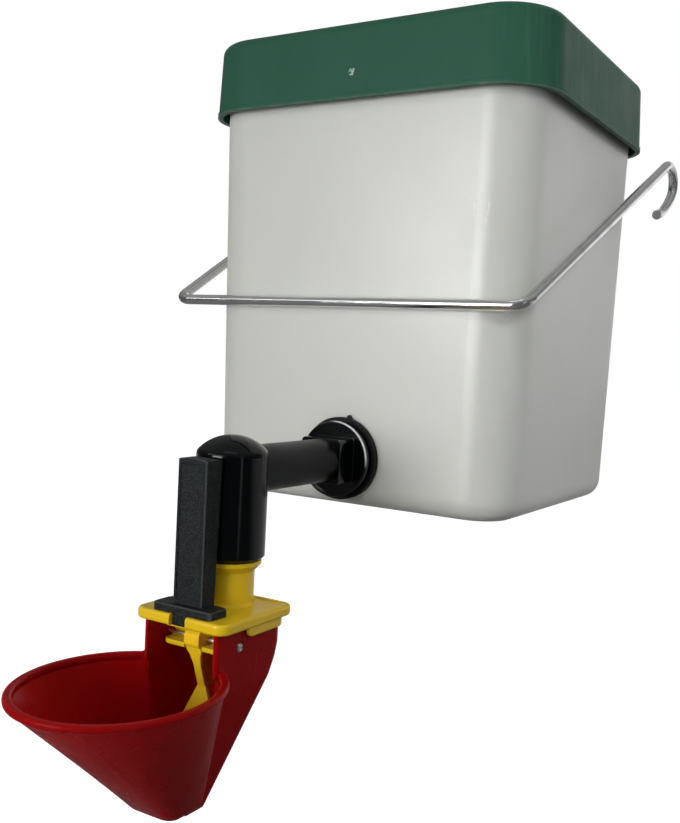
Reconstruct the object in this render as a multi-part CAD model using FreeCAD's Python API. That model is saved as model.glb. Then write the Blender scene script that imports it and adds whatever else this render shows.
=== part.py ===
import FreeCAD, Part
import math
import os
from FreeCAD import Vector

# Hanging waterer for chicks: a lidded tank in a wire hanger feeds a cup through a pipe, an elbow
# and a small valve that the chick opens with a tongue.
# Everything is drawn with the outlet's axis at zero: X to the right, Y to the back, Z up, and the
# tank's front wall at Y = 0. write() then moves it all so that the origin lies between the hooks.

# Clearances
running_fit = 0.07
push_fit = 0.05
loose_gap = 0.3

# Tank
tank_width = 162.7
tank_depth = 153.9
tank_draft = 0.0181
tank_corner_radius = 22.0
tank_wall = 2.0
tank_drop = 22.5
tank_rise = 195.95
tank_bottom_round = 10.0
tank_rim_proud = 1.2
tank_rim_height = 5.0
tank_rim_round = 0.9

# Lid
lid_wall = 2.2
lid_skirt_depth = 34.9
lid_skirt_gap = 3.5
lid_draft = 0.039
lid_edge_round = 4.5
lid_inner_round = 0.8
lid_corner_radius = 28.0
lid_lip_height = 2.2
lid_lip_proud = 0.35
lid_pip_radius = 1.7
lid_pip_height = 0.35
lid_pip_rise = 11.8
lid_pip_rim = 0.6

# Wire hanger
wire_diameter = 5.0
bar_height = 72.0
arm_side_gap = 1.45
bar_side_shift = -7.0
bar_gap = 0.2
arm_splay = 0.0863
arm_slope = 0.538
arm_reach = 158.6
bar_bend_radius = 8.0
hook_bend_radius = 9.2
hook_bend_angle = 160.0
hook_leg_length = 1.5
hook_tip_radius = 38.0
hook_tip_angle = 35.0

# Outlet fitting
washer_radius = 19.1
washer_thickness = 3.2
washer_nib_size = 1.6
washer_nib_turn = 11.0
flange_radius = 17.6
flange_thickness = 4.8
flange_chamfer = 0.5
flange_rim_width = 1.5
flange_pocket_depth = 0.8
block_width = 20.4
block_length = 11.0
block_round = 1.8
tail_radius = 10.2
tail_length = 17.0
fitting_bore_radius = 5.2
spigot_length = 14.0
spigot_chamfer = 0.8
nut_across_flats = 30.0
nut_thickness = 7.0
nut_chamfer = 1.0
pad_radius = 20.0
pad_thickness = 2.0

# Pipe
pipe_diameter = 19.6
pipe_wall = 1.8

# Elbow
elbow_reach = 83.0
elbow_radius = 14.4
elbow_top = 14.7
elbow_bottom = -34.2
elbow_cap_radius = 18.6
elbow_shoulder_round = 3.5
elbow_chamfer = 1.4
elbow_bore_radius = 11.0
elbow_bore_depth = 20.5
elbow_passage_radius = 7.5
pipe_stop = 4.5

# Valve head
collar_radius = 13.2
collar_height = 1.5
collar_cone_height = 2.6
neck_tube_radius = 10.7
neck_foot_round = 1.6
head_spigot_length = 19.0
head_bore_radius = 5.5
plate_half_width = 22.1
plate_front = -112.6
plate_rear = -66.7
plate_top = -52.0
plate_thickness = 4.3
plate_corner_radius = 5.0
plate_edge_round = 1.2
plate_panel_depth = 0.4
plate_panel_x = (5.0, 17.5)
plate_panel_y = (-81.0, -69.0)
skirt_depth = 3.9
skirt_wall = 1.5
skirt_front = -94.6
skirt_corner_radius = 2.5
skirt_edge_round = 0.7
skirt_rear_round = 8.0
notch_half_width = 3.9
notch_depth = 4.6
cheek_front = -102.6
cheek_outer = 15.0
cheek_inner = 4.3
cheek_web = 2.6
cheek_bottom = -67.2
cheek_lip_depth = 3.6
cheek_bar_height = 2.1
cheek_corner_round = 2.4
cheek_edge_round = 0.8
guide_boss_radius = 5.5
guide_boss_depth = 1.2
guide_bore_radius = 2.28

# Seals and valve
ring_section = 2.0
ring_groove_width = 2.6
swivel_ring_depth = 9.0
pipe_ring_depth = 6.0
seat_thickness = 2.2
seat_hole_radius = 1.9
seat_floor = -46.0
retainer_thickness = 2.0
retainer_hole_radius = 4.2
stem_radius = 1.5
stem_head_radius = 3.4
stem_head_height = 2.8
stem_end = -59.6
stem_wing_length = 7.5
stem_wing_drop = 2.6
stem_flat_offset = 1.55
strainer_radius = 8.0
strainer_thickness = 1.2
strainer_rim = 1.2
strainer_hole_radius = 0.6
strainer_ring_radii = (2.4, 4.8)
strainer_ring_counts = (5, 10)

# Pin and tongue
pin_radius = 1.2
pin_y = -97.3
pin_z = -63.6
pin_proud = 0.5
pin_chamfer = 0.3
pin_head_radius = 1.7
pin_seat_radius = 2.3
pin_seat_depth = 0.6
hub_half_width = 3.6
hub_front = -103.7
hub_rear = -92.6
hub_top = -59.4
hub_bottom = -66.4
hub_round = 2.4
arm_half_width = 1.8
arm_shoulder_z = -72.4
arm_root_z = -67.8
arm_neck_half_width = 2.6
arm_neck_z = -69.8
arm_taper_end = -73.5
knee_y = -96.4
knee_z = -82.8
arm_rear = -88.5
paddle_bottom = -97.5
paddle_half_width = 7.6
paddle_thickness = 2.0
paddle_lean = 2.0
paddle_round = 2.5
lever_tip = -81.0
lever_half_width = 2.6
lever_top = -59.9
lever_thickness = 2.8

# Post
post_half_width = 7.1
post_front = -107.3
post_lean = 1.5
post_top = 7.1
post_top_fall = 0.9
post_crown = 0.9
post_border = 1.6
post_panel_depth = 0.3
post_edge_round = 0.9
foot_half_width = 14.3
foot_front = -110.7
foot_depth = 10.9
foot_thickness = 3.1
foot_round = 0.8
foot_corner_round = 2.2
tab_half_width = 3.7
tab_thickness = 2.9

# Cup
cup_wall = 2.0
ear_front = -110.5
ear_half_width = 18.1
ear_round = 1.6
neck_rear = -69.9
neck_half_width = 18.8
neck_rear_round = 4.8
neck_bends = ((-67.0, 0.0), (-72.5, -1.7), (-79.0, -5.3))
neck_foot_half_width = 11.4
neck_foot_front = -117.0
neck_foot_rear = -102.8
neck_foot_lift = 0.6
bowl_centre_y = -141.3
bowl_half_width = 36.3
bowl_half_length = 40.9
rim_top = -70.2
rim_height = 2.8
rim_width = 3.3
rim_round = 1.2
rim_rise_radius = 2.0
bowl_seam_angle = 28
bowl_foot_z = -124.4
bowl_foot_half_width = 11.6
bowl_foot_front = -123.4
bowl_foot_rear = -104.0
bowl_foot_corner = 5.5
bowl_foot_round = 5.0

# How far a quarter arc's middle lies inside its corner, as a share of the radius
arc_middle = 1 - math.sqrt(0.5)

# Places that follow from the sizes above
tank_mid_y = tank_depth / 2
tank_top = tank_rise
lid_rim_z = tank_top + lid_wall - lid_skirt_depth
washer_front = -washer_thickness
flange_front = washer_front - flange_thickness
block_front = flange_front - block_length
pipe_radius = pipe_diameter / 2
pipe_bore_radius = pipe_radius - pipe_wall
spigot_radius = pipe_bore_radius - push_fit
elbow_y = -elbow_reach
pipe_end = elbow_y + pipe_stop
bore_top = elbow_bottom + elbow_bore_depth
head_spigot_radius = elbow_bore_radius - running_fit
collar_top = elbow_bottom - loose_gap
spigot_top = collar_top + head_spigot_length
plate_bottom = plate_top - plate_thickness
seat_top = seat_floor + seat_thickness
wire_radius = wire_diameter / 2
bar_half_length = (tank_width / 2 + tank_draft * bar_height + arm_side_gap + wire_radius
                   - bar_side_shift)


def tank_half(z):
    """Half width and half depth of the tank's outside at height z."""
    grow = tank_draft * z
    return tank_width / 2 + grow, tank_depth / 2 + grow


def front_wall_y(z):
    return tank_mid_y - tank_half(z)[1]


def behind_front_wall(reach):
    """Block behind the plane of the tank's sloping front wall, round the outlet."""
    return polygon_prism([(front_wall_y(-reach), -reach), (front_wall_y(reach), reach),
                          (tank_mid_y, reach), (tank_mid_y, -reach)], -reach, reach)


def rounded_rectangle(x0, x1, y0, y1, z, radius):
    """Closed wire at height z, always drawn from the same corner so that two of them can be lofted."""
    r = radius
    k = r * arc_middle
    corners = (
        (Vector(x1 - r, y0, z), Vector(x1 - k, y0 + k, z), Vector(x1, y0 + r, z)),
        (Vector(x1, y1 - r, z), Vector(x1 - k, y1 - k, z), Vector(x1 - r, y1, z)),
        (Vector(x0 + r, y1, z), Vector(x0 + k, y1 - k, z), Vector(x0, y1 - r, z)),
        (Vector(x0, y0 + r, z), Vector(x0 + k, y0 + k, z), Vector(x0 + r, y0, z)),
    )
    edges = []
    for index, (start, middle, end) in enumerate(corners):
        edges.append(Part.Arc(start, middle, end).toShape())
        following = corners[(index + 1) % 4][0]
        edges.append(Part.LineSegment(end, following).toShape())
    return Part.Wire(edges)


def centred_rectangle(half_x, half_y, mid_y, z, radius):
    return rounded_rectangle(-half_x, half_x, mid_y - half_y, mid_y + half_y, z, radius)


def prism(wire, height):
    return Part.Face(wire).extrude(Vector(0, 0, height))


def loft(*wires):
    return Part.makeLoft(list(wires), True, True)


def box(x0, x1, y0, y1, z0, z1):
    return Part.makeBox(x1 - x0, y1 - y0, z1 - z0, Vector(x0, y0, z0))


def disc_y(radius, y0, y1, x=0.0, z=0.0):
    return Part.makeCylinder(radius, y1 - y0, Vector(x, y0, z), Vector(0, 1, 0))


def disc_x(radius, x0, x1):
    """Cylinder on the hinge pin's axis."""
    return Part.makeCylinder(radius, x1 - x0, Vector(x0, pin_y, pin_z), Vector(1, 0, 0))


def disc_z(radius, z0, z1, y=elbow_y, x=0.0):
    return Part.makeCylinder(radius, z1 - z0, Vector(x, y, z0), Vector(0, 0, 1))


def round_edges(shape, radius, wanted):
    """Fillet the edges whose bounding box passes the test."""
    edges = [edge for edge in shape.Edges if wanted(edge.BoundBox)]
    return shape.makeFillet(radius, edges)


def level(z):
    """Test for edges that lie wholly at height z."""
    return lambda b: abs(b.ZMin - z) < 1e-4 and abs(b.ZMax - z) < 1e-4


def polygon_prism(points, x0, x1):
    """Side profile of (y, z) points, extruded along X."""
    wire = Part.makePolygon([Vector(x0, y, z) for y, z in points + points[:1]])
    return Part.Face(wire).extrude(Vector(x1 - x0, 0, 0))


def plate_from_front(points, y0, y1):
    """Front outline of (x, z) points, extruded along Y."""
    wire = Part.makePolygon([Vector(x, y0, z) for x, z in points + points[:1]])
    return Part.Face(wire).extrude(Vector(0, y1 - y0, 0))


def tank_loft(z0, z1, inset, corner):
    """Block of the tank's tapering outline between two heights."""
    wires = []
    for z in (z0, z1):
        half_x, half_y = tank_half(z)
        wires.append(centred_rectangle(half_x - inset, half_y - inset, tank_mid_y, z, corner))
    return loft(*wires)


def tank_outside():
    body = tank_loft(-tank_drop, tank_top, 0.0, tank_corner_radius)
    return round_edges(body, tank_bottom_round, level(-tank_drop))


def make_tank(outside):
    rim = tank_loft(tank_top - tank_rim_height, tank_top, -tank_rim_proud,
                    tank_corner_radius + tank_rim_proud)
    rim = round_edges(rim, tank_rim_round, level(tank_top))
    floor_z = tank_wall - tank_drop
    inner_corner = tank_corner_radius - tank_wall
    cavity = tank_loft(floor_z, tank_top + 1.0, tank_wall, inner_corner)
    cavity = round_edges(cavity, tank_bottom_round - tank_wall, level(floor_z))
    # The pad gives the lock nut an upright face on the sloping wall.
    pad_rear = tank_wall + pad_thickness
    pad = disc_y(pad_radius, -tank_wall, pad_rear).common(behind_front_wall(2 * pad_radius))
    tank = outside.fuse(rim).cut(cavity).fuse(pad)
    hole = disc_y(tail_radius + loose_gap, -2 * tank_wall, pad_rear + tank_wall)
    return tank.cut(hole).removeSplitter()


def make_lid():
    half_x, half_y = tank_half(lid_rim_z)
    reach = lid_skirt_gap + lid_wall
    draw_in = lid_draft * lid_skirt_depth
    lid_top = tank_top + lid_wall

    def outline(offset, z, corner):
        return centred_rectangle(half_x + offset, half_y + offset, tank_mid_y, z, corner)

    shell = loft(outline(reach, lid_rim_z, lid_corner_radius),
                 outline(reach - draw_in, lid_top, lid_corner_radius - draw_in))
    shell = round_edges(shell, lid_edge_round, level(lid_top))
    # The hollow narrows with the skirt and stops at the tank's rim.
    hollow_draw = lid_draft * (lid_skirt_depth - lid_wall)
    inner_corner = lid_corner_radius - lid_wall
    hollow = loft(outline(reach - lid_wall, lid_rim_z, inner_corner),
                  outline(reach - lid_wall - hollow_draw, tank_top, inner_corner - hollow_draw))
    hollow = round_edges(hollow, lid_inner_round, level(tank_top))
    lip = prism(outline(reach + lid_lip_proud, lid_rim_z, lid_corner_radius + lid_lip_proud),
                lid_lip_height)
    lip = round_edges(lip, lid_lip_proud * 0.8, level(lid_rim_z + lid_lip_height))
    pip_z = lid_rim_z + lid_pip_rise
    pip_y = tank_mid_y - half_y - reach + lid_draft * (pip_z - lid_rim_z)
    pip = disc_y(lid_pip_radius, pip_y - lid_pip_height, pip_y + lid_wall / 2, z=pip_z)
    dish_floor = pip_y - lid_pip_height / 6
    pip_dish = disc_y(lid_pip_radius - lid_pip_rim, pip_y - 2 * lid_pip_height, dish_floor, z=pip_z)
    return shell.fuse(lip).fuse(pip).cut(hollow).cut(pip_dish).removeSplitter()


def arm_frame():
    """Corner of the bar and right arm, the arm's direction and the upward normal in its plane."""
    bar_y = front_wall_y(bar_height) - bar_gap - wire_radius
    corner = Vector(bar_half_length, bar_y, bar_height)
    along = Vector(arm_splay, 1, arm_slope)
    along.normalize()
    side = along.cross(Vector(0, 0, 1))
    side.normalize()
    upward = side.cross(along)
    return corner, along, upward


def hook_centre():
    """Centre of the hook's bend, where the rail that carries the waterer lies."""
    corner, along, upward = arm_frame()
    return corner + along * arm_length() - upward * hook_bend_radius


def arm_length():
    along = arm_frame()[1]
    return arm_reach / along.y


def turn(direction, upward, degrees):
    """Turn a direction downwards in the hook's plane."""
    a = math.radians(degrees)
    return direction * math.cos(a) - upward * math.sin(a)


def make_hanger():
    corner, along, upward = arm_frame()
    half_turn = math.acos(along.x) / 2
    setback = bar_bend_radius * math.tan(half_turn)
    bend_start = corner - Vector(setback, 0, 0)
    bend_end = corner + along * setback
    inward = (along - Vector(1, 0, 0)) * 0.5
    inward.normalize()
    bend_centre = corner + inward * (bar_bend_radius / math.cos(half_turn))
    bend_mid = bend_centre - inward * bar_bend_radius
    arm_end = corner + along * arm_length()
    centre = hook_centre()

    def on_bend(degrees):
        out = turn(upward, along * -1, degrees)
        return centre + out * hook_bend_radius

    bend_tip = on_bend(hook_bend_angle)
    leg_way = turn(along, upward, hook_bend_angle)
    leg_side = turn(upward, along * -1, hook_bend_angle)
    leg_end = bend_tip + leg_way * hook_leg_length
    tip_centre = leg_end - leg_side * hook_tip_radius

    def on_tip(degrees):
        a = math.radians(degrees)
        spoke = leg_side * math.cos(a) + leg_way * math.sin(a)
        return tip_centre + spoke * hook_tip_radius

    def flipped(point):
        return Vector(-point.x, point.y, point.z)

    right = [
        ("arc", bend_start, bend_mid, bend_end),
        ("line", bend_end, arm_end),
        ("arc", arm_end, on_bend(hook_bend_angle / 2), bend_tip),
        ("line", bend_tip, leg_end),
        ("arc", leg_end, on_tip(hook_tip_angle / 2), on_tip(hook_tip_angle)),
    ]
    left = [(kind,) + tuple(flipped(p) for p in reversed(points)) for kind, *points in reversed(right)]
    bar = [("line", flipped(bend_start), bend_start)]
    edges = []
    for kind, *points in left + bar + right:
        if kind == "arc":
            edges.append(Part.Arc(*points).toShape())
        else:
            edges.append(Part.LineSegment(*points).toShape())
    path = Part.Wire(edges)
    start = edges[0].Curve.value(edges[0].FirstParameter)
    heading = edges[0].tangentAt(edges[0].FirstParameter)
    section = Part.Wire(Part.makeCircle(wire_radius, start, heading))
    hanger = path.makePipeShell([section], True, True)
    hanger.translate(Vector(bar_side_shift, 0, 0))
    return hanger


def make_washer():
    ring = disc_y(washer_radius, washer_front, tank_wall)
    root = washer_radius - washer_nib_size
    tip = washer_radius + washer_nib_size
    corners = [Vector(-washer_nib_size, washer_front, root), Vector(0, washer_front, tip),
               Vector(2 * washer_nib_size, washer_front, root), Vector(-washer_nib_size, washer_front, root)]
    nib = Part.Face(Part.makePolygon(corners)).extrude(Vector(0, washer_thickness + tank_wall, 0))
    nib.rotate(Vector(0, 0, 0), Vector(0, 1, 0), washer_nib_turn)
    ring = ring.fuse(nib).cut(behind_front_wall(2 * washer_radius))
    return ring.cut(disc_y(tail_radius + loose_gap, washer_front - 1, tank_wall + 1))


def make_fitting():
    flange = disc_y(flange_radius, flange_front, washer_front)
    flange = flange.makeChamfer(flange_chamfer, [edge for edge in flange.Edges
                                                 if abs(edge.BoundBox.YMax - flange_front) < 1e-4])
    pocket_floor = flange_front + flange_pocket_depth
    flange = flange.cut(disc_y(flange_radius - flange_rim_width, flange_front - 1, pocket_floor))
    half = block_width / 2
    block = box(-half, half, block_front, pocket_floor, -half, half)
    block = block.makeFillet(block_round, [edge for edge in block.Edges
                                           if edge.BoundBox.YMax - edge.BoundBox.YMin > block_length / 2])
    tail_end = washer_front + tail_length
    tail = disc_y(tail_radius, washer_front, tail_end)
    spigot = disc_y(spigot_radius, block_front - spigot_length, block_front)
    spigot = spigot.makeChamfer(spigot_chamfer, [edge for edge in spigot.Edges
                                                 if edge.BoundBox.YMax < block_front - 1])
    body = flange.fuse(block).fuse(tail).fuse(spigot)
    body = body.cut(disc_y(fitting_bore_radius, block_front - spigot_length - 1, tail_end + 1))
    return body.cut(ring_groove(Vector(0, block_front - pipe_ring_depth, 0), Vector(0, 1, 0),
                                pipe_bore_radius)).removeSplitter()


def make_nut():
    rear = tank_wall + pad_thickness
    corner = nut_across_flats / math.sqrt(3)
    points = [Vector(corner * math.cos(math.radians(60 * k)), rear, corner * math.sin(math.radians(60 * k)))
              for k in range(7)]
    nut = Part.Face(Part.makePolygon(points)).extrude(Vector(0, nut_thickness, 0))
    # A cone on the far face takes the corners off as on a moulded nut.
    cone = Part.makeCone(corner + nut_thickness - nut_chamfer, corner - nut_chamfer, nut_thickness,
                         Vector(0, rear, 0), Vector(0, 1, 0))
    nut = nut.common(cone)
    return nut.cut(disc_y(tail_radius + push_fit, rear - 1, rear + nut_thickness + 1))


def ring_groove(centre, axis, bore_radius):
    """Groove for a sealing ring that seals against a bore of the given radius."""
    start = centre - axis * (ring_groove_width / 2)
    outer = Part.makeCylinder(bore_radius + 1, ring_groove_width, start, axis)
    core = Part.makeCylinder(bore_radius - ring_section - push_fit, ring_groove_width, start, axis)
    return outer.cut(core)


def sealing_ring(centre, axis, bore_radius):
    section = (ring_section - push_fit) / 2
    return Part.makeTorus(bore_radius - push_fit - section, section, centre, axis)


def make_pipe():
    tube = disc_y(pipe_radius, pipe_end, block_front)
    return tube.cut(disc_y(pipe_bore_radius, pipe_end - 1, block_front + 1))


def make_elbow():
    """Upright body with a chamfered foot and a flat dome on a rounded shoulder, revolved."""
    r = elbow_radius
    cap_centre = elbow_top - elbow_cap_radius
    shoulder_x = r - elbow_shoulder_round
    spoke = elbow_cap_radius - elbow_shoulder_round
    shoulder_z = cap_centre + math.sqrt(spoke ** 2 - shoulder_x ** 2)
    steepness = math.atan2(shoulder_z - cap_centre, shoulder_x)

    def on_shoulder(angle):
        return Vector(shoulder_x + elbow_shoulder_round * math.cos(angle), 0,
                      shoulder_z + elbow_shoulder_round * math.sin(angle))

    def on_cap(angle):
        return Vector(elbow_cap_radius * math.cos(angle), 0,
                      cap_centre + elbow_cap_radius * math.sin(angle))

    foot_edge = Part.makePolygon([
        Vector(0, 0, elbow_bottom),
        Vector(r - elbow_chamfer, 0, elbow_bottom),
        Vector(r, 0, elbow_bottom + elbow_chamfer),
        on_shoulder(0),
    ])
    shoulder = Part.Arc(on_shoulder(0), on_shoulder(steepness / 2), on_shoulder(steepness)).toShape()
    top_angle = math.pi / 2
    cap = Part.Arc(on_cap(steepness), on_cap((steepness + top_angle) / 2), on_cap(top_angle)).toShape()
    axis = Part.LineSegment(Vector(0, 0, elbow_top), Vector(0, 0, elbow_bottom)).toShape()
    outline = Part.Wire(foot_edge.Edges + [shoulder, cap, axis])
    body = Part.Face(outline).revolve(Vector(0, 0, 0), Vector(0, 0, 1), 360)
    body = Part.Solid(body.Shells[0]) if body.ShapeType != "Solid" else body
    body.translate(Vector(0, elbow_y, 0))
    body = body.cut(disc_z(elbow_bore_radius, elbow_bottom - 1, bore_top))
    body = body.cut(disc_z(elbow_passage_radius, bore_top - 1, 0))
    body = body.cut(disc_y(elbow_passage_radius, elbow_y, pipe_end + 1))
    return body.cut(disc_y(pipe_radius + push_fit, pipe_end, elbow_y + 2 * r))


def head_plate():
    plate = prism(rounded_rectangle(-plate_half_width, plate_half_width, plate_front, plate_rear,
                                    plate_bottom, plate_corner_radius), plate_thickness)
    plate = round_edges(plate, plate_edge_round,
                        lambda b: b.ZMax - b.ZMin < 1e-4)
    notch = box(-notch_half_width, notch_half_width, plate_front - 1, plate_front + notch_depth,
                plate_bottom - 1, plate_top + 1)
    panel = box(plate_panel_x[0], plate_panel_x[1], plate_panel_y[0], plate_panel_y[1],
                plate_top - plate_panel_depth, plate_top + 1)
    return plate.cut(notch).cut(panel)


def head_skirt():
    """Band round the back of the plate that grips the cup's neck from outside."""
    inner = neck_half_width + loose_gap
    outer = inner + skirt_wall
    rear_in = neck_rear + loose_gap
    bottom = plate_bottom - skirt_depth
    reach = 2 * skirt_rear_round
    band = prism(rounded_rectangle(-outer, outer, skirt_front - reach, rear_in + skirt_wall, bottom,
                                   skirt_rear_round), skirt_depth)
    space = prism(rounded_rectangle(-inner, inner, skirt_front - 2 * reach, rear_in, bottom - 1,
                                    neck_rear_round + loose_gap), skirt_depth + 2)
    band = band.cut(space)
    band = band.common(box(-outer, outer, skirt_front, rear_in + 2 * skirt_wall, bottom, plate_bottom))
    band = round_edges(band, skirt_corner_radius,
                       lambda b: abs(b.YMax - skirt_front) < 1e-4 and abs(b.ZMax - bottom) < 1e-4)
    return round_edges(band, skirt_edge_round,
                       lambda b: b.ZMax < bottom + 1e-4 and b.XMax - b.XMin < 1e-4
                       and abs(b.XMin) > inner + 1e-4)


def head_cheek(side):
    """C-shaped holder of the pin on one side of the tongue, open to the front."""
    back = pin_y + pin_radius + push_fit
    x0, x1 = sorted((side * cheek_inner, side * cheek_outer))
    block = box(x0, x1, cheek_front, back + cheek_web, cheek_bottom, plate_bottom)
    channel = box(x0 - 1, x1 + 1, cheek_front - 1, back,
                  cheek_bottom + cheek_bar_height, plate_bottom - cheek_lip_depth)
    nose = [edge for edge in block.Edges if edge.BoundBox.YMax < cheek_front + 1e-4
            and edge.BoundBox.ZMax - edge.BoundBox.ZMin > cheek_bar_height
            and abs(edge.BoundBox.Center.x) > cheek_outer - 1e-4]
    block = block.makeFillet(cheek_corner_round, nose)
    block = round_edges(block, cheek_edge_round,
                        lambda b: b.ZMax < cheek_bottom + 1e-4 and b.YMax < cheek_front + 1e-4)
    return block.cut(channel)


def make_valve_head():
    tube_top = collar_top - collar_height - collar_cone_height
    tube = disc_z(neck_tube_radius, plate_top - 1, tube_top)
    cone = Part.makeCone(neck_tube_radius, collar_radius, collar_cone_height,
                         Vector(0, elbow_y, tube_top), Vector(0, 0, 1))
    collar = disc_z(collar_radius, collar_top - collar_height, collar_top)
    spigot = disc_z(head_spigot_radius, collar_top, spigot_top)
    spigot = spigot.makeChamfer(spigot_chamfer, [edge for edge in spigot.Edges
                                                 if abs(edge.BoundBox.ZMin - spigot_top) < 1e-4])
    plate = head_plate()
    body = plate.fuse(tube)
    body = round_edges(body, neck_foot_round,
                       lambda b: abs(b.ZMax - plate_top) < 1e-4 and abs(b.ZMin - plate_top) < 1e-4
                       and abs(b.XMax - neck_tube_radius) < 1e-3)
    guide = disc_z(guide_boss_radius, plate_bottom - guide_boss_depth, plate_bottom + 1)
    body = body.fuse([cone, collar, spigot, guide, head_skirt(), head_cheek(1), head_cheek(-1)])
    body = body.cut(disc_z(head_bore_radius, seat_floor, spigot_top + 1))
    body = body.cut(disc_z(guide_bore_radius, plate_bottom - 2 * guide_boss_depth, seat_floor + 1))
    body = body.cut(disc_z(strainer_radius + push_fit, spigot_top - strainer_thickness, spigot_top + 1))
    ring_centre = Vector(0, elbow_y, spigot_top - swivel_ring_depth)
    body = body.cut(ring_groove(ring_centre, Vector(0, 0, 1), elbow_bore_radius))
    return body.removeSplitter()


def make_seat():
    ring = disc_z(head_bore_radius - push_fit, seat_floor, seat_top)
    return ring.cut(disc_z(seat_hole_radius, seat_floor - 1, seat_top + 1))


def make_retainer():
    top = seat_top + retainer_thickness
    ring = disc_z(head_bore_radius - push_fit, seat_top, top)
    ring = ring.makeChamfer(retainer_thickness / 5, [edge for edge in ring.Edges
                                                     if abs(edge.BoundBox.ZMin - top) < 1e-4])
    return ring.cut(disc_z(retainer_hole_radius, seat_top - 1, top + 1))


def make_stem():
    shaft = disc_z(stem_radius, stem_end, seat_top)
    head = Part.makeCone(stem_head_radius, stem_radius, stem_head_height,
                         Vector(0, elbow_y, seat_top), Vector(0, 0, 1))
    # Three flats on the guided length let the water past.
    wing_top = seat_floor - stem_wing_drop
    wing = disc_z(guide_bore_radius - running_fit, wing_top - stem_wing_length, wing_top)
    reach = 2 * guide_bore_radius
    for k in range(3):
        flat = Part.makeBox(reach, 2 * reach, stem_wing_length + 2,
                            Vector(stem_flat_offset, elbow_y - reach, wing_top - stem_wing_length - 1))
        flat.rotate(Vector(0, elbow_y, 0), Vector(0, 0, 1), 120 * k)
        wing = wing.cut(flat)
    stem = shaft.fuse([head, wing])
    return stem.removeSplitter()


def make_strainer():
    bottom = spigot_top - strainer_thickness
    disc = disc_z(strainer_radius, bottom, spigot_top)
    dish = disc_z(strainer_radius - strainer_rim, bottom + strainer_thickness / 2, spigot_top + 1)
    disc = disc.cut(dish)
    for ring_radius, count in zip(strainer_ring_radii, strainer_ring_counts):
        for k in range(count):
            a = 2 * math.pi * k / count
            disc = disc.cut(disc_z(strainer_hole_radius, bottom - 1, spigot_top + 1,
                                   y=elbow_y + ring_radius * math.sin(a), x=ring_radius * math.cos(a)))
    return disc


def cup_side_x(y):
    """Half width of the cup's neck at depth y, above its knee."""
    share = (y - ear_front) / (neck_rear - ear_front)
    return ear_half_width + (neck_half_width - ear_half_width) * share


def neck_wire(inset, z, front, rear, half_front, half_rear, front_round, rear_round):
    """Outline of the neck at one height: a trapezium that widens to the back."""
    xf, xr = half_front - inset, half_rear - inset
    y0, y1 = front, rear - inset
    rf, rr = front_round, rear_round
    kf = rf * arc_middle
    kr = rr * arc_middle
    points = [
        (Vector(xf - rf, y0, z), Vector(xf - kf, y0 + kf, z), Vector(xf, y0 + rf, z)),
        (Vector(xr, y1 - rr, z), Vector(xr - kr, y1 - kr, z), Vector(xr - rr, y1, z)),
    ]
    ring = points + [tuple(Vector(-p.x, p.y, p.z) for p in reversed(corner)) for corner in reversed(points)]
    edges = []
    for index, (start, middle, end) in enumerate(ring):
        edges.append(Part.Arc(start, middle, end).toShape())
        edges.append(Part.LineSegment(end, ring[(index + 1) % 4][0]).toShape())
    return Part.Wire(edges)


def neck_section(inset, z, shift, front_round, front):
    """Outline of the neck above its long slope, its rear wall moved by shift."""
    rear_round = neck_rear_round if inset == 0 else neck_rear_round - inset / 2
    return neck_wire(inset, z, front, neck_rear + shift, ear_half_width, neck_half_width,
                     front_round, rear_round)


def ellipse_wire(half_x, half_y, mid_y, z, corner_angle):
    """Ellipse in eight arcs that match the edges of a rounded rectangle."""
    angles = []
    for quarter in (-90, 0, 90, 180):
        angles.append(quarter + corner_angle)
        angles.append(quarter + 90 - corner_angle)

    def at(degrees):
        a = math.radians(degrees)
        return Vector(half_x * math.cos(a), mid_y + half_y * math.sin(a), z)

    edges = []
    for index, start in enumerate(angles):
        end = angles[(index + 1) % 8]
        if end < start:
            end += 360
        edges.append(Part.Arc(at(start), at((start + end) / 2), at(end)).toShape())
    return Part.Wire(edges)


def bowl_block(inset, floor_z):
    """The bowl's cone from under its rim to its small foot, drawn in by the wall on the inside."""
    side = rim_width - cup_wall + inset
    top = ellipse_wire(bowl_half_width - side, bowl_half_length - side, bowl_centre_y,
                       rim_top - rim_height, bowl_seam_angle)
    foot = rounded_rectangle(-bowl_foot_half_width + inset, bowl_foot_half_width - inset,
                             bowl_foot_front + inset, bowl_foot_rear - inset, floor_z,
                             bowl_foot_corner - inset)
    return loft(top, foot)


def rim_plan(inset, z):
    """Face inside the rim's ellipse, drawn in by the inset."""
    return Part.Face(ellipse_wire(bowl_half_width - inset, bowl_half_length - inset, bowl_centre_y, z,
                                  bowl_seam_angle))


def rim_rise():
    """Small concave web on the rim that leads it up into the right ear."""
    r = rim_rise_radius
    x0 = ear_half_width
    x1 = x0 + r
    y0 = ear_front - rim_width
    low = rim_top - rim_height / 2
    k = r * arc_middle
    inner = x0 - cup_wall / 2
    hollow = Part.Arc(Vector(x0, y0, rim_top + r), Vector(x0 + k, y0, rim_top + k), Vector(x1, y0, rim_top))
    back = Part.makePolygon([Vector(x1, y0, rim_top), Vector(x1, y0, low), Vector(inner, y0, low),
                             Vector(inner, y0, rim_top + r), Vector(x0, y0, rim_top + r)])
    web = Part.Face(Part.Wire([hollow.toShape()] + back.Edges)).extrude(Vector(0, 3 * rim_width, 0))
    up = Vector(0, 0, rim_height + 2 * r)
    ring = rim_plan(rim_round / 2, low).extrude(up).cut(rim_plan(rim_width - rim_round / 2, low).extrude(up))
    return web.common(ring)


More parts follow.
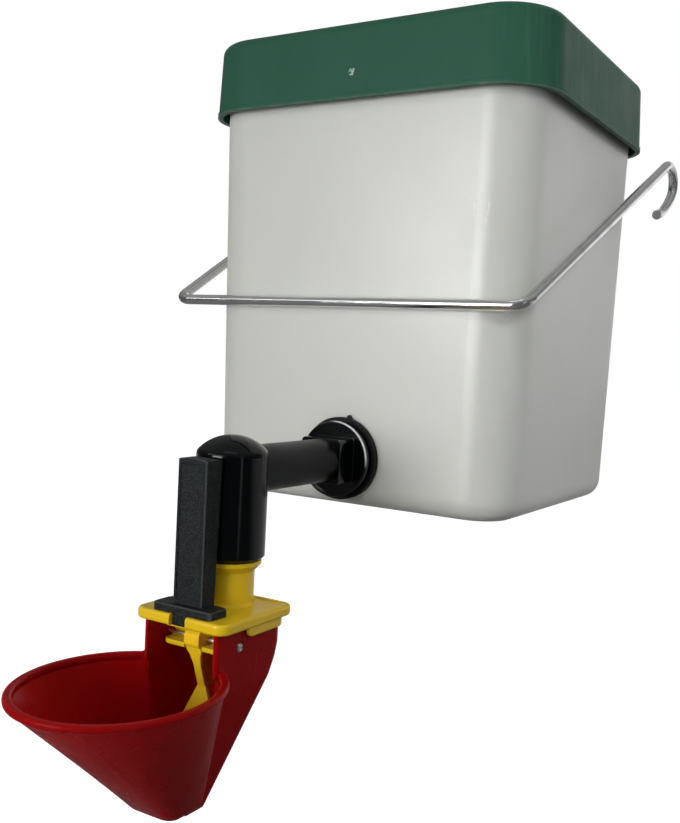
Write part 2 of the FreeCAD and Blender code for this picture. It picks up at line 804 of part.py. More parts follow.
def make_cup():
    rim_bottom = rim_top - rim_height
    bowl = bowl_block(0.0, bowl_foot_z)
    bowl = round_edges(bowl, bowl_foot_round, level(bowl_foot_z))
    bowl_hollow = bowl_block(cup_wall, bowl_foot_z + cup_wall)
    foot_z = bowl_foot_z + neck_foot_lift
    knee_out = neck_section(0, neck_bends[0][0], neck_bends[0][1], ear_round, ear_front)
    sections = [neck_section(0, z, shift, ear_round, ear_front) for z, shift in neck_bends]
    sections.append(neck_wire(0, foot_z, neck_foot_front, neck_foot_rear, neck_foot_half_width,
                              neck_foot_half_width, ear_round, neck_rear_round))
    neck = prism(knee_out, plate_bottom - neck_bends[0][0])
    for above, below in zip(sections, sections[1:]):
        neck = neck.fuse(loft(above, below))
    open_front = ear_front - 1
    knee_in = neck_section(cup_wall, neck_bends[0][0], neck_bends[0][1], loose_gap, open_front)
    sections = [neck_section(cup_wall, z, shift, loose_gap, open_front) for z, shift in neck_bends]
    sections.append(neck_wire(cup_wall, foot_z + cup_wall, neck_foot_front + cup_wall, neck_foot_rear,
                              neck_foot_half_width, neck_foot_half_width, loose_gap,
                              neck_rear_round - cup_wall / 2))
    neck_hollow = prism(knee_in, plate_bottom - neck_bends[0][0] + 1)
    for above, below in zip(sections, sections[1:]):
        neck_hollow = neck_hollow.fuse(loft(above, below))
    rim = rim_plan(0.0, rim_bottom).extrude(Vector(0, 0, rim_height))
    rim = rim.cut(rim_plan(rim_width, rim_bottom).extrude(Vector(0, 0, rim_height)))
    rim = round_edges(rim, rim_round, lambda b: abs(b.ZMax - b.ZMin) < 1e-4)
    rises = [rim_rise(), rim_rise().mirror(Vector(0, 0, 0), Vector(1, 0, 0))]
    body = bowl.fuse([neck, rim] + rises)
    body = body.cut(neck_hollow).cut(bowl_hollow)
    reach = 2 * neck_half_width
    pin_hole = disc_x(pin_radius + push_fit, -reach, reach)
    side = cup_side_x(pin_y)
    head_seat = disc_x(pin_seat_radius, side - pin_seat_depth, reach)
    return body.cut(pin_hole).cut(head_seat).removeSplitter()


def make_pin():
    """Pin with a small head that lies in the cup's right ear."""
    side = cup_side_x(pin_y)
    pin = disc_x(pin_radius, -side - pin_proud, side)
    pin = pin.makeChamfer(pin_chamfer, [edge for edge in pin.Edges if edge.BoundBox.XMax < -side])
    head_end = side + pin_proud
    head = disc_x(pin_head_radius, side - pin_seat_depth + push_fit, head_end)
    head = head.makeChamfer(pin_chamfer, [edge for edge in head.Edges
                                          if abs(edge.BoundBox.XMin - head_end) < 1e-4])
    return pin.fuse(head).removeSplitter()


def make_tongue():
    hub = polygon_prism([(hub_front, hub_bottom), (hub_front, hub_top), (hub_rear, hub_top),
                         (hub_rear, hub_bottom)], -hub_half_width, hub_half_width)
    hub = round_edges(hub, hub_round, lambda b: b.XMax - b.XMin > hub_half_width)
    root_z = hub_bottom + 1
    arm = polygon_prism([(hub_front + 1, root_z), (hub_rear - 1, root_z),
                         (arm_rear, arm_shoulder_z), (arm_rear, knee_z), (knee_y, knee_z),
                         (hub_front + hub_round, hub_bottom - hub_round)],
                        -hub_half_width, hub_half_width)
    # Seen from the front the arm narrows from the hub's width.
    arm = arm.common(plate_from_front([(-hub_half_width, hub_top), (-hub_half_width, arm_root_z),
                                       (-arm_neck_half_width, arm_neck_z), (-arm_half_width, arm_taper_end),
                                       (-arm_half_width, knee_z), (arm_half_width, knee_z),
                                       (arm_half_width, arm_taper_end), (arm_neck_half_width, arm_neck_z),
                                       (hub_half_width, arm_root_z), (hub_half_width, hub_top)],
                                      hub_front, arm_rear))
    paddle_rear = knee_y + paddle_thickness
    paddle_top = knee_z + paddle_thickness / 4
    top_left = Vector(-arm_half_width, 0, paddle_top)
    outline = Part.makePolygon([
        top_left,
        Vector(-paddle_half_width, 0, paddle_bottom + paddle_round),
        Vector(-paddle_half_width + paddle_round, 0, paddle_bottom),
        Vector(paddle_half_width - paddle_round, 0, paddle_bottom),
        Vector(paddle_half_width, 0, paddle_bottom + paddle_round),
        Vector(arm_half_width, 0, paddle_top),
        top_left,
    ])
    paddle = Part.Face(outline).extrude(Vector(0, paddle_thickness, 0))
    paddle.translate(Vector(0, paddle_rear - paddle_thickness, 0))
    lean = math.degrees(math.atan2(paddle_lean, knee_z - paddle_bottom))
    paddle.rotate(Vector(0, paddle_rear - paddle_thickness, knee_z), Vector(1, 0, 0), -lean)
    lever = box(-lever_half_width, lever_half_width, hub_rear - 2, lever_tip,
                lever_top - lever_thickness, lever_top)
    lever = round_edges(lever, lever_thickness / 3,
                        lambda b: b.YMin > lever_tip - 1e-4 and b.XMax - b.XMin > lever_half_width)
    tongue = hub.fuse([arm, paddle, lever])
    bore = disc_x(pin_radius + running_fit, -2 * hub_half_width, 2 * hub_half_width)
    return tongue.cut(bore).removeSplitter()


def make_post():
    foot_rear = foot_front + foot_depth
    foot_top = plate_top + foot_thickness
    half = post_half_width
    side_top = post_top - post_crown
    # The top is a shallow arch across the width.
    sides = Part.makePolygon([Vector(-half, post_front, side_top),
                              Vector(-half, post_front, foot_top - 1),
                              Vector(half, post_front, foot_top - 1),
                              Vector(half, post_front, side_top)])
    arch = Part.Arc(Vector(half, post_front, side_top), Vector(0, post_front, post_top),
                    Vector(-half, post_front, side_top)).toShape()
    post = Part.Face(Part.Wire(sides.Edges + [arch])).extrude(Vector(0, foot_depth + post_lean, 0))
    # The top falls to the rear, which leans back and is hollowed to clear the elbow.
    post_rear = foot_rear + post_lean
    rear = polygon_prism([(foot_rear, plate_top), (post_rear, post_top + 1),
                          (foot_rear + foot_depth, post_top + 1), (foot_rear + foot_depth, plate_top)],
                         -2 * half, 2 * half)
    post = post.cut(rear)
    post = post.cut(disc_z(elbow_radius + 2 * loose_gap, plate_top, post_top + 1))
    post = post.makeFillet(post_edge_round, [edge for edge in post.Edges
                                             if edge.BoundBox.YMax < post_front + 1e-4
                                             and edge.BoundBox.ZMax > foot_top])
    above = polygon_prism([(post_front, post_top + post_edge_round), (post_rear, post_top - post_top_fall),
                           (post_rear, post_top + 1), (post_front, post_top + 1)], -2 * half, 2 * half)
    post = post.cut(above)
    panel = box(-half + post_border, half - post_border, post_front - 1, post_front + post_panel_depth,
                foot_top + post_border, side_top - post_border)
    foot = box(-foot_half_width, foot_half_width, foot_front, foot_rear, plate_top, foot_top)
    foot = round_edges(foot, foot_corner_round, lambda b: b.ZMax - b.ZMin > foot_thickness / 2)
    foot = round_edges(foot, foot_round, level(foot_top))
    tab = box(-tab_half_width, tab_half_width, foot_front, foot_front + tab_thickness,
              plate_bottom, plate_top + 1)
    return post.cut(panel).fuse([foot, tab]).removeSplitter()


def write(node, shape):
    """Check one solid, move it to the hooks' frame and write it."""
    origin = hook_centre()
    moved = shape.copy()
    moved.translate(Vector(-bar_side_shift, -origin.y, -origin.z))
    solids = moved.Solids
    if len(solids) != 1 or not moved.isValid():
        print("look at", node, "solids", len(solids), "valid", moved.isValid())
    solids[0].exportStep("parts/" + node + ".step")
    print(node, round(solids[0].Volume / 1000, 2), "cm3")


def main():
    os.makedirs("parts", exist_ok=True)
    outside = tank_outside()
    axis_y = Vector(0, 1, 0)
    axis_z = Vector(0, 0, 1)
    parts = {
        "tank": make_tank(outside),
        "lid": make_lid(),
        "wire_hanger": make_hanger(),
        "outlet_washer": make_washer(),
        "outlet_fitting": make_fitting(),
        "outlet_lock_nut": make_nut(),
        "pipe_seal": sealing_ring(Vector(0, block_front - pipe_ring_depth, 0), axis_y, pipe_bore_radius),
        "supply_pipe": make_pipe(),
        "elbow": make_elbow(),
        "valve_head": make_valve_head(),
        "swivel_seal": sealing_ring(Vector(0, elbow_y, spigot_top - swivel_ring_depth), axis_z,
                                    elbow_bore_radius),
        "inlet_strainer": make_strainer(),
        "seat_retainer": make_retainer(),
        "valve_seat": make_seat(),
        "valve_stem": make_stem(),
        "tongue": make_tongue(),
        "hinge_pin": make_pin(),
        "drinking_cup": make_cup(),
        "locking_post": make_post(),
    }
    for node, shape in parts.items():
        write(node, shape)


main()
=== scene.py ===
import math

import bpy
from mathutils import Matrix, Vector


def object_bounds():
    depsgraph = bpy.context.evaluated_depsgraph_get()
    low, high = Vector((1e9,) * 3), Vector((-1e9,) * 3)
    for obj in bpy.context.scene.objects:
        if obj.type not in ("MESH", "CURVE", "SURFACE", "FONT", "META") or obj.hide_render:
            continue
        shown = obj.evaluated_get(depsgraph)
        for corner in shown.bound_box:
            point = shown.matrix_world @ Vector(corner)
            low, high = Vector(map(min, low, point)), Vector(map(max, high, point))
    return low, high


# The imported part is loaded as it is; this script adds materials, light, floor and camera.
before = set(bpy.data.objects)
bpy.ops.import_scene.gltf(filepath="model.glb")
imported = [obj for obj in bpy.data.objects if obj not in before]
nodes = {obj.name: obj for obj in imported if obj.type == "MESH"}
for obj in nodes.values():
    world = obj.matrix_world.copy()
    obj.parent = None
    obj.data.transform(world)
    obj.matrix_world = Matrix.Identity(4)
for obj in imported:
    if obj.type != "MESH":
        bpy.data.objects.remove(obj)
cad_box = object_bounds()

# Camera, solved from the photograph
CAMERA_PLACE = (0.244193, -0.549167, -0.100029)
CAMERA_TURN = (86.7236, -2.8854, 31.8563)
CAMERA_LENS = 42.991
CAMERA_SHIFT = (0.00271, -0.00415)
SENSOR = 36.0

# Floor: how far below the part it lies, its own colour, and how white it looks to the camera
FLOOR_DROP = 0.22
FLOOR_SIZE = 30.0
FLOOR_COLOUR = (0.16, 0.16, 0.16, 1.0)
FLOOR_GLOW = 0.985
WHITE = (1.0, 1.0, 1.0, 1.0)

# What reflections see: the floor and the backdrop behind the part, the dim room, the sky over it
FLOOR_MIRROR = 0.42
MIRROR_REACH = 0.9
ROOM_REFLECTION = 0.09
SKY_REFLECTION = 0.3
BACKDROP_EDGES = (0.64, 1.0)
SKY_EDGES = (0.2, 0.9)

# The soft light from all round, weaker in front of the part than behind it
AMBIENT_FRONT = 0.12
AMBIENT_BACK = 1.0
AMBIENT_EDGES = (-0.3, 0.8)

# Lamps: place, what it aims at, size, watts, whether reflections show it, spread in degrees
MIDDLE = (0.0, -0.15, -0.12)
LAMPS = {
    "window": ((-0.26, -1.5, 0.0), MIDDLE, (0.7, 0.45), 10.3, True, 180.0),
    "bar": ((-0.5, -1.5, 0.5), MIDDLE, (1.7, 0.12), 2.2, True, 180.0),
    "overhead": ((0.1, -0.6, 1.3), MIDDLE, (0.8, 0.05), 0.7, True, 180.0),
    "low_fill": ((0.0, -1.3, -0.24), MIDDLE, (0.4, 0.2), 1.7, False, 180.0),
    "side_fill": ((0.55, -0.2, 0.22), (0.09, -0.08, -0.05), (0.35, 0.35), 0.55, False, 180.0),
    "corner_fill": ((0.75, -0.75, 0.4), (0.09, -0.12, -0.09), (0.12, 0.12), 0.056, False, 26.0),
    "left_fill": ((-0.8, 0.15, -0.1), (0.0, -0.2, -0.18), (0.5, 0.5), 1.6, False, 180.0),
    "strip": ((1.3, -0.78, -0.02), MIDDLE, (0.09, 0.9), 0.26, True, 180.0),
}

# Marks of wear and moulding, and painted highlights and shade, in metres of the row frame
PIP_PLACE = (0.007, -0.1675, 0.0258)
PIP_RADIUS = 0.003
LID_LOW = 0.014
SCRATCH_PLACE = (0.0705, -0.1598, -0.037)
SCRATCH_RADIUS = 0.011
STREAK_START = 0.06
STREAK_FULL = 0.097
FLANGE_X = 0.007
FLANGE_RING = (0.0008, 0.0004)
FLANGE_ARC = (0.0135, 0.0205)
PIN_BEATEN = (0.0009, 0.0004)

BEVEL_SAMPLES = 6
WAVE_STRENGTH = 0.25


# ---- node helpers ----

def new_material(name):
    """A new material; returns it, its node tree and its principled shader."""
    material = bpy.data.materials.new(name)
    material.use_nodes = True
    tree = material.node_tree
    return material, tree, tree.nodes["Principled BSDF"]


def add(tree, kind, **values):
    """A new node with some of its own properties set."""
    node = tree.nodes.new(kind)
    for key, value in values.items():
        setattr(node, key, value)
    return node


def join(tree, output, socket):
    tree.links.new(output, socket)


def place(tree, scale=(1, 1, 1), turn=(0, 0, 0), shift=(0, 0, 0)):
    """The piece's own coordinates, which are metres of the row frame, scaled, turned and shifted."""
    coordinates = add(tree, "ShaderNodeTexCoord")
    mapping = add(tree, "ShaderNodeMapping")
    mapping.inputs["Scale"].default_value = scale
    mapping.inputs["Rotation"].default_value = turn
    mapping.inputs["Location"].default_value = shift
    join(tree, coordinates.outputs["Object"], mapping.inputs["Vector"])
    return mapping.outputs["Vector"]


def split(tree, vector):
    """The X, Y and Z outputs of a vector."""
    parts = add(tree, "ShaderNodeSeparateXYZ")
    join(tree, vector, parts.inputs[0])
    return parts.outputs


def surface_normal(tree):
    return add(tree, "ShaderNodeNewGeometry").outputs["Normal"]


def noise(tree, vector, scale, detail, roughness=0.55, distortion=0.0):
    node = add(tree, "ShaderNodeTexNoise")
    node.inputs["Scale"].default_value = scale
    node.inputs["Detail"].default_value = detail
    node.inputs["Roughness"].default_value = roughness
    node.inputs["Distortion"].default_value = distortion
    join(tree, vector, node.inputs["Vector"])
    return node.outputs["Fac"]


def ramp(tree, value, low, high, start, end):
    """Map a value between start and end onto low and high, smoothly."""
    node = add(tree, "ShaderNodeMapRange", interpolation_type="SMOOTHSTEP")
    node.inputs["From Min"].default_value = start
    node.inputs["From Max"].default_value = end
    node.inputs["To Min"].default_value = low
    node.inputs["To Max"].default_value = high
    join(tree, value, node.inputs["Value"])
    return node.outputs["Result"]


def blend_colours(tree, factor, first, second):
    """A mix of two colours, each an output or an RGB tuple."""
    node = add(tree, "ShaderNodeMix", data_type="RGBA")
    join(tree, factor, node.inputs["Factor"])
    colour_inputs = [socket for socket in node.inputs if socket.type == "RGBA"]
    for socket, colour in zip(colour_inputs, (first, second)):
        if isinstance(colour, tuple):
            socket.default_value = (*colour, 1.0)
        else:
            join(tree, colour, socket)
    return [socket for socket in node.outputs if socket.type == "RGBA"][0]


def blend_values(tree, factor, first, second):
    """A mix of two values, each an output or a number."""
    node = add(tree, "ShaderNodeMix", data_type="FLOAT")
    join(tree, factor, node.inputs["Factor"])
    for name, value in (("A", first), ("B", second)):
        if isinstance(value, float):
            node.inputs[name].default_value = value
        else:
            join(tree, value, node.inputs[name])
    return node.outputs["Result"]


def combine(tree, operation, first, second):
    """A math node of two outputs, or of an output and a number."""
    node = add(tree, "ShaderNodeMath", operation=operation)
    for socket, value in zip(node.inputs, (first, second)):
        if isinstance(value, float):
            socket.default_value = value
        else:
            join(tree, value, socket)
    return node.outputs[0]


def bump(tree, height, strength, distance, before=None):
    node = add(tree, "ShaderNodeBump")
    node.inputs["Strength"].default_value = strength
    node.inputs["Distance"].default_value = distance
    join(tree, height, node.inputs["Height"])
    if before is not None:
        join(tree, before, node.inputs["Normal"])
    return node.outputs["Normal"]


def length(tree, vector):
    node = add(tree, "ShaderNodeVectorMath", operation="LENGTH")
    join(tree, vector, node.inputs[0])
    return node.outputs["Value"]


def spot(tree, centre, radius, stretch=(1, 1, 1)):
    """1 near a point of the row frame, fading to 0 at the radius."""
    shift = [-c * s for c, s in zip(centre, stretch)]
    return ramp(tree, length(tree, place(tree, stretch, shift=shift)), 1.0, 0.0, 0.0, radius)


# ---- masks of wear, and of painted highlights ----

def edge_wear_and_highlight(tree, rounded):
    """1 along the sharp edges, where the rounded normal leaves the surface's own; the colour laid
    there is partly wear, partly a painted highlight.
    """
    turned = add(tree, "ShaderNodeVectorMath", operation="DOT_PRODUCT")
    join(tree, rounded, turned.inputs[0])
    join(tree, surface_normal(tree), turned.inputs[1])
    return ramp(tree, turned.outputs["Value"], 1.0, 0.0, 0.78, 0.97)


def rounded_edge_wear_and_highlight_mask(tree):
    """1 on the rounded edges of a boxy piece, where the normal follows no axis; the lighter colour
    laid there is partly wear, partly a painted highlight.
    """
    size = add(tree, "ShaderNodeVectorMath", operation="ABSOLUTE")
    join(tree, surface_normal(tree), size.inputs[0])
    parts = split(tree, size.outputs["Vector"])
    widest = combine(tree, "MAXIMUM", parts["X"], parts["Y"])
    widest = combine(tree, "MAXIMUM", widest, parts["Z"])
    return ramp(tree, widest, 1.0, 0.0, 0.84, 0.985)


def pip_painted_highlight_mask(tree):
    """The whitish ring round the gate mark on the lid, a painted highlight."""
    near = spot(tree, PIP_PLACE, PIP_RADIUS)
    broken = noise(tree, place(tree), 800.0, 2.0)
    return combine(tree, "MULTIPLY", ramp(tree, near, 0.0, 1.0, 0.25, 0.5),
                   ramp(tree, broken, 0.0, 0.9, 0.42, 0.58))


def rim_mask(tree):
    """The lid's lower edge, lighter in a broken band along its bottom."""
    height = split(tree, place(tree))["Z"]
    patchy_lightening = noise(tree, place(tree), 120.0, 3.0)
    return combine(tree, "MULTIPLY",
                   ramp(tree, height, 1.0, 0.0, LID_LOW + 0.0003, LID_LOW + 0.0011),
                   ramp(tree, patchy_lightening, 0.35, 1.0, 0.35, 0.6))


def scratch_mask(tree):
    """Two short light scuffs on the tank's front wall near the right corner."""
    near = spot(tree, SCRATCH_PLACE, SCRATCH_RADIUS, (1.6, 0.6, 0.8))
    lines = noise(tree, place(tree, (1.0, 1.0, 0.18), (0.0, 0.35, 0.0)), 420.0, 3.0)
    return combine(tree, "MULTIPLY", near, ramp(tree, lines, 0.0, 1.0, 0.56, 0.64))


def flange_painted_highlight_mask(tree):
    """The outlet flange's front edge, bright at the upper right: a painted highlight."""
    corners = [corner.co for corner in nodes["outlet_fitting"].data.vertices]
    centre = (min(c.z for c in corners) + max(c.z for c in corners)) / 2
    rim = max(c.x for c in corners) - FLANGE_X
    parts = split(tree, place(tree, shift=(-FLANGE_X, 0, -centre)))
    across = add(tree, "ShaderNodeCombineXYZ")
    join(tree, parts["X"], across.inputs["X"])
    join(tree, parts["Z"], across.inputs["Z"])
    ring = ramp(tree, length(tree, across.outputs["Vector"]), 0.0, 1.0,
                rim - FLANGE_RING[0], rim - FLANGE_RING[1])
    front = ramp(tree, split(tree, surface_normal(tree))["Y"], 1.0, 0.0, -0.65, -0.35)
    upper = ramp(tree, combine(tree, "ADD", parts["X"], parts["Z"]), 0.0, 1.0, *FLANGE_ARC)
    return combine(tree, "MULTIPLY", combine(tree, "MULTIPLY", ring, front), upper)


def streak_mask(tree, where):
    """Upright scuffs on the lid's right side, hardly any elsewhere."""
    long = noise(tree, place(tree, (1.0, 1.0, 0.04)), 420.0, 3.0)
    side = ramp(tree, split(tree, where)["X"], 0.1, 1.0, STREAK_START, STREAK_FULL)
    return combine(tree, "MULTIPLY", ramp(tree, long, 0.0, 0.8, 0.5, 0.72), side)


# ---- materials ----

def plastic(name, colour, deep, rough, coarse=40.0, grain=900.0, grain_depth=0.00002,
            grain_strength=0.2, wave=0.00012, mottle=0.35, scatter=0.0,
            depth=(0.004, 0.004, 0.0035), shine=0.25, edge=0.0003, edge_colour=None,
            speckle=0.0, streaks=0.0, marks=()):
    """Moulded plastic: slow colour drift, uneven gloss, soft waves, fine grain, edges lightened
    partly by wear, partly as a painted highlight.
    """
    material, tree, shader = new_material(name)
    where = place(tree)
    slow = noise(tree, where, coarse, 3.0)
    fine = noise(tree, where, grain, 2.0)
    shade = blend_colours(tree, ramp(tree, slow, 0.0, mottle, 0.3, 0.75), colour, deep)
    if speckle:
        light = tuple(c * (1.0 + speckle) for c in colour)
        shade = blend_colours(tree, ramp(tree, fine, 0.0, 1.0, 0.45, 0.62), shade, light)
    if streaks:
        rubbed = tuple(c * (1.0 + streaks) + 0.006 for c in colour)
        shade = blend_colours(tree, streak_mask(tree, where), shade, rubbed)
    rounded = None
    if edge:
        bevel = add(tree, "ShaderNodeBevel", samples=BEVEL_SAMPLES)
        bevel.inputs["Radius"].default_value = edge
        rounded = bevel.outputs["Normal"]
    # Sharp edges take the edge colour: partly wear, partly a painted highlight along them.
    if edge_colour:
        patchy_lightening = combine(tree, "MULTIPLY", edge_wear_and_highlight(tree, rounded),
                       ramp(tree, slow, 0.35, 1.0, 0.35, 0.6))
        shade = blend_colours(tree, patchy_lightening, shade, edge_colour)
    for mask, mark_colour in marks:
        shade = blend_colours(tree, mask(tree), shade, mark_colour)
    join(tree, shade, shader.inputs["Base Color"])
    gloss = ramp(tree, slow, rough * 0.88, rough * 1.15, 0.3, 0.7)
    join(tree, gloss, shader.inputs["Roughness"])
    waves = bump(tree, slow, WAVE_STRENGTH, wave, rounded)
    join(tree, bump(tree, fine, grain_strength, grain_depth, waves), shader.inputs["Normal"])
    if scatter:
        shader.inputs["Subsurface Weight"].default_value = scatter
        shader.inputs["Subsurface Radius"].default_value = depth
        shader.inputs["Subsurface Scale"].default_value = 1.0
    shader.inputs["Specular IOR Level"].default_value = shine
    return material


def metal(name, colour, dark, rough):
    """Bright steel with dull patches and a fine drawn grain."""
    material, tree, shader = new_material(name)
    shader.inputs["Metallic"].default_value = 1.0
    where = place(tree)
    patch = noise(tree, where, 90.0, 3.0, 0.5)
    fine = noise(tree, where, 1400.0, 3.0)
    shade = blend_colours(tree, ramp(tree, patch, 0.0, 1.0, 0.45, 0.8), colour, dark)
    join(tree, shade, shader.inputs["Base Color"])
    gloss = ramp(tree, patch, rough * 0.7, rough * 1.6, 0.3, 0.75)
    join(tree, gloss, shader.inputs["Roughness"])
    join(tree, bump(tree, fine, 0.1, 0.00001), shader.inputs["Normal"])
    return material


def beat_pin_end(material):
    """Bright dents on the last millimetre of the pin, where it is riveted over, with painted shade
    in their hollows.
    """
    tree = material.node_tree
    shader = tree.nodes["Principled BSDF"]
    end = max(corner.co.x for corner in nodes["hinge_pin"].data.vertices)
    at_end = ramp(tree, split(tree, place(tree))["X"], 0.0, 1.0,
                  end - PIN_BEATEN[0], end - PIN_BEATEN[1])
    dents = noise(tree, place(tree), 1400.0, 1.0, distortion=1.0)
    beaten = bump(tree, combine(tree, "MULTIPLY", dents, at_end), 1.0, 0.0012)
    join(tree, beaten, shader.inputs["Normal"])
    colour = shader.inputs["Base Color"]
    # The low parts of the dents take a dark colour: painted shade.
    painted_shade_in_dents = combine(tree, "MULTIPLY", at_end, ramp(tree, dents, 1.0, 0.0, 0.36, 0.45))
    shade = blend_colours(tree, painted_shade_in_dents, colour.links[0].from_socket, (0.06, 0.045, 0.045))
    join(tree, shade, colour)


def dress_pieces():
    milky = plastic(
        "tank_plastic", (0.62, 0.632, 0.59), (0.59, 0.60, 0.55), 0.34, coarse=14.0,
        grain=500.0, grain_depth=0.00003, grain_strength=0.12, wave=0.0005, mottle=0.6,
        scatter=1.0, depth=(0.006, 0.006, 0.0055), shine=0.75,
        marks=[(scratch_mask, (0.95, 0.96, 0.93))])
    # The lid's edge colour is partly wear, partly a painted highlight; the whitish ring round its
    # gate mark is a painted highlight.
    green = plastic(
        "lid_plastic", (0.026, 0.094, 0.060), (0.020, 0.078, 0.048), 0.42, coarse=25.0,
        grain=1300.0, grain_strength=0.35, wave=0.00006, shine=0.1, edge=0.0005,
        edge_colour=(0.09, 0.19, 0.14), streaks=0.25,
        marks=[(pip_painted_highlight_mask, (0.42, 0.58, 0.50)), (rim_mask, (0.085, 0.15, 0.115))])
    # The glossy blacks' edge colour is partly wear, partly a painted highlight along their edges.
    glossy_black = {
        "colour": (0.0006, 0.0012, 0.0018), "deep": (0.0004, 0.0008, 0.0012), "rough": 0.12,
        "coarse": 90.0, "wave": 0.00008, "grain_strength": 0.05, "edge": 0.0005,
        "edge_colour": (0.035, 0.037, 0.040)}
    gloss = plastic("black_gloss", shine=0.29, **glossy_black)
    # The fitting carries a painted highlight arc on its flange's front edge.
    fitting = plastic("black_fitting", shine=0.5, marks=[(flange_painted_highlight_mask, (0.68, 0.69, 0.71))],
                      **glossy_black)
    matte = plastic(
        "black_matte", (0.0025, 0.0035, 0.004), (0.0018, 0.0025, 0.003), 0.34,
        coarse=70.0, grain=1100.0, grain_strength=0.3, shine=0.19)
    # The locking post's rounded edges are lighter: partly wear, partly a painted highlight.
    textured = plastic(
        "black_textured", (0.0082, 0.0100, 0.0104), (0.0062, 0.0076, 0.0080), 0.46,
        coarse=160.0, grain=1900.0, grain_depth=0.0002, grain_strength=1.0, shine=0.13,
        edge=0.0008, speckle=1.9, marks=[(rounded_edge_wear_and_highlight_mask, (0.052, 0.056, 0.058))])
    rubber = plastic(
        "black_rubber", (0.004, 0.0045, 0.0045), (0.003, 0.0035, 0.0035), 0.5,
        coarse=120.0, grain=900.0, grain_strength=0.4, shine=0.15)
    yellow = plastic(
        "yellow_plastic", (0.79, 0.54, 0.012), (0.71, 0.46, 0.010), 0.22, coarse=60.0,
        scatter=0.2, depth=(0.003, 0.002, 0.0004), shine=0.5, edge=0.0004)
    # The tongue's yellow is a lighter copy of the head's yellow: painted light standing in for the
    # light that falls on the tongue.
    yellow_with_painted_light = plastic(
        "tongue_plastic", (0.95, 0.63, 0.018), (0.88, 0.55, 0.014), 0.24, coarse=60.0,
        scatter=0.3, depth=(0.003, 0.002, 0.0004), shine=0.5, edge=0.0004)
    red = plastic(
        "red_plastic", (0.255, 0.0032, 0.0042), (0.20, 0.0025, 0.0030), 0.27, coarse=45.0,
        grain_strength=0.1, wave=0.00004, scatter=0.7, depth=(0.009, 0.0005, 0.0005),
        shine=0.06, edge=0.0)
    grey = plastic("grey_plastic", (0.40, 0.40, 0.39), (0.33, 0.33, 0.32), 0.4)
    wire = metal("galvanised_wire", (0.84, 0.85, 0.84), (0.68, 0.69, 0.69), 0.17)
    steel = metal("pin_steel", (0.92, 0.90, 0.88), (0.6, 0.57, 0.55), 0.28)
    beat_pin_end(steel)

    looks = {
        "tank": milky,
        "lid": green,
        "wire_hanger": wire,
        "outlet_washer": rubber,
        "outlet_fitting": fitting,
        "outlet_lock_nut": gloss,
        "pipe_seal": rubber,
        "supply_pipe": matte,
        "elbow": gloss,
        "valve_head": yellow,
        "swivel_seal": rubber,
        "inlet_strainer": grey,
        "seat_retainer": grey,
        "valve_seat": rubber,
        "valve_stem": steel,
        "tongue": yellow_with_painted_light,
        "hinge_pin": steel,
        "drinking_cup": red,
        "locking_post": textured,
    }
    for name, material in looks.items():
        mesh = nodes[name].data
        mesh.materials.clear()
        mesh.materials.append(material)


# ---- studio ----

def seen_directly(tree, path):
    """1 for what the camera sees itself or through something clear."""
    return combine(tree, "MAXIMUM", path.outputs["Is Camera Ray"],
                   path.outputs["Is Transmission Ray"])


def make_floor():
    """A pale floor that looks white to the camera and keeps the part's shadow."""
    low = cad_box[0]
    bpy.ops.mesh.primitive_plane_add(size=FLOOR_SIZE, location=(0, 0, low.z - FLOOR_DROP))
    floor = bpy.context.object
    floor.name = "floor"
    material, tree, shader = new_material("pale_floor")
    tree.nodes.remove(shader)
    diffuse = add(tree, "ShaderNodeBsdfDiffuse")
    diffuse.inputs["Color"].default_value = FLOOR_COLOUR
    glow = add(tree, "ShaderNodeEmission")
    glow.inputs["Color"].default_value = WHITE
    path = add(tree, "ShaderNodeLightPath")
    behind = ramp(tree, split(tree, place(tree))["Y"], 0.0, FLOOR_MIRROR, 0.0, MIRROR_REACH)
    mirrored = combine(tree, "MULTIPLY", behind, path.outputs["Is Glossy Ray"])
    seen = combine(tree, "MAXIMUM", seen_directly(tree, path), mirrored)
    join(tree, combine(tree, "MULTIPLY", seen, FLOOR_GLOW), glow.inputs["Strength"])
    both = add(tree, "ShaderNodeAddShader")
    join(tree, diffuse.outputs[0], both.inputs[0])
    join(tree, glow.outputs[0], both.inputs[1])
    join(tree, both.outputs[0], tree.nodes["Material Output"].inputs["Surface"])
    floor.data.materials.append(material)


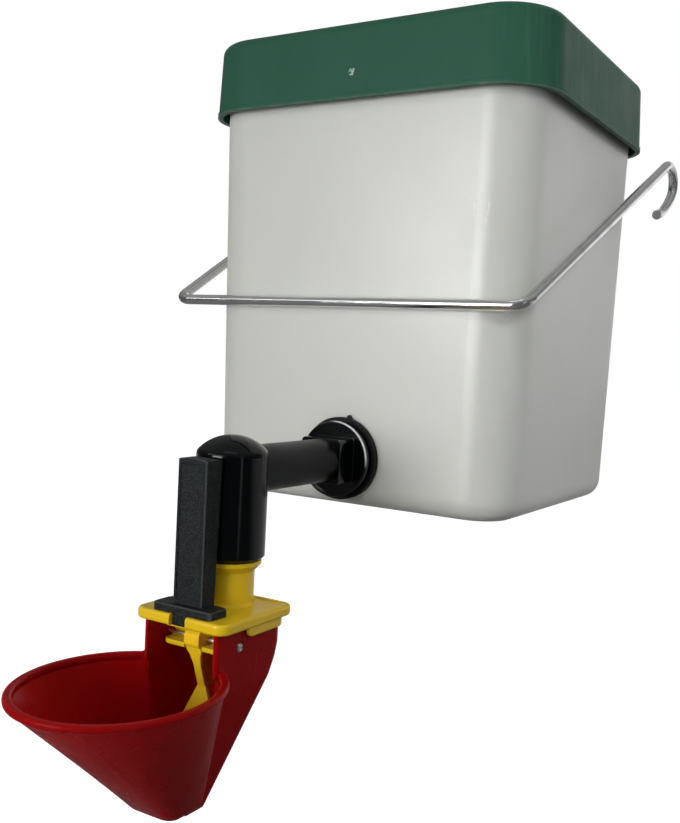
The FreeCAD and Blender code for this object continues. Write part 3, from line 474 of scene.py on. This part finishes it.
def make_world():
    """White to the camera, a white backdrop behind the part for reflections, soft light."""
    world = bpy.data.worlds.new("studio")
    bpy.context.scene.world = world
    world.use_nodes = True
    tree = world.node_tree
    tree.nodes.clear()
    output = add(tree, "ShaderNodeOutputWorld")
    path = add(tree, "ShaderNodeLightPath")
    room = add(tree, "ShaderNodeBackground")
    room.inputs["Color"].default_value = WHITE
    direction = split(tree, add(tree, "ShaderNodeTexCoord").outputs["Generated"])
    backdrop = ramp(tree, direction["Y"], ROOM_REFLECTION, 1.0, *BACKDROP_EDGES)
    sky = ramp(tree, direction["Z"], ROOM_REFLECTION, SKY_REFLECTION, *SKY_EDGES)
    reflected = combine(tree, "MAXIMUM", backdrop, sky)
    ambient = ramp(tree, direction["Y"], AMBIENT_FRONT, AMBIENT_BACK, *AMBIENT_EDGES)
    indirect = blend_values(tree, path.outputs["Is Glossy Ray"], ambient, reflected)
    strength = blend_values(tree, seen_directly(tree, path), indirect, 1.0)
    join(tree, strength, room.inputs["Strength"])
    join(tree, room.outputs[0], output.inputs["Surface"])


def softbox(name, place_at, aim, size, watts, mirrored, spread):
    light = bpy.data.lights.new(name, "AREA")
    light.shape = "RECTANGLE"
    light.size, light.size_y = size
    light.energy = watts
    light.spread = math.radians(spread)
    lamp = bpy.data.objects.new(name, light)
    lamp.visible_camera = False
    lamp.visible_glossy = mirrored
    lamp.location = place_at
    backwards = Vector(place_at) - Vector(aim)
    lamp.rotation_euler = backwards.to_track_quat("Z", "Y").to_euler()
    bpy.context.scene.collection.objects.link(lamp)


def make_camera():
    data = bpy.data.cameras.new("camera")
    data.sensor_width = SENSOR
    data.lens = CAMERA_LENS
    data.shift_x, data.shift_y = CAMERA_SHIFT
    data.clip_start = 0.01
    camera = bpy.data.objects.new("camera", data)
    camera.location = CAMERA_PLACE
    camera.rotation_euler = [math.radians(angle) for angle in CAMERA_TURN]
    bpy.context.scene.collection.objects.link(camera)
    bpy.context.scene.camera = camera


dress_pieces()
make_floor()
make_world()
for lamp_name, settings in LAMPS.items():
    softbox(lamp_name, *settings)
make_camera()
bpy.context.scene.view_settings.view_transform = "Standard"
